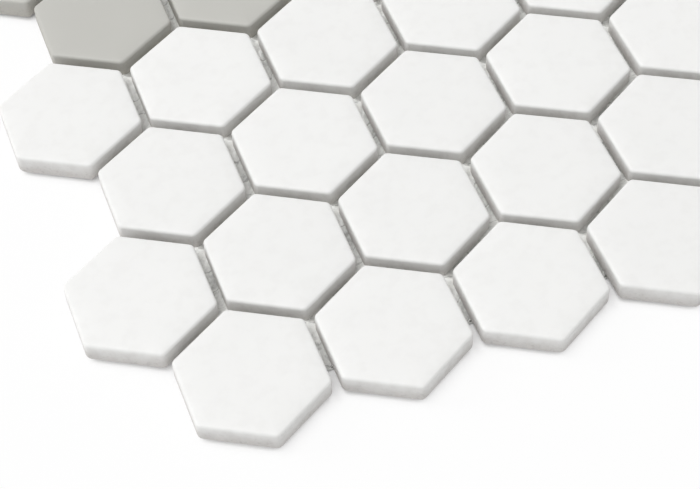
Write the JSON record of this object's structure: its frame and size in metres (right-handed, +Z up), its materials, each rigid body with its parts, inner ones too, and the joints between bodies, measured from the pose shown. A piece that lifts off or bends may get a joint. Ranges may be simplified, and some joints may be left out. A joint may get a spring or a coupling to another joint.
{
  "type": "hexagon mosaic floor tile sheet",
  "caption": "Sheet of small white hexagonal porcelain floor tiles in staggered rows with a light grey flower, glued face up on a glass-fibre net, ready to be laid and grouted.",
  "frame": {"origin": "on the floor under the middle of the sheet, in the plane of the net's underside", "axes": "+X along the straight rows of tiles, the sheet's longer side; +Y up the sheet, across the rows; +Z up, out of the glazed faces"},
  "size_m": [0.3108, 0.2646, 0.0054],
  "materials": {
    "white_tile": "satin",
    "grey_tile": "satin",
    "net": "matte"
  },
  "bodies": {
    "root": {"white_tiles_row_01": "white_tile", "white_tiles_row_02": "white_tile", "white_tiles_row_03": "white_tile", "white_tiles_row_04": "white_tile", "white_tiles_row_05": "white_tile", "white_tiles_row_06": "white_tile", "white_tiles_row_07": "white_tile", "white_tiles_row_08": "white_tile", "white_tiles_row_09": "white_tile", "white_tiles_row_10": "white_tile", "white_tiles_row_11": "white_tile", "white_tiles_row_12": "white_tile", "grey_tiles": "grey_tile", "net_strands_across": "net", "net_strands_up": "net"}
  },
  "joints": []
}
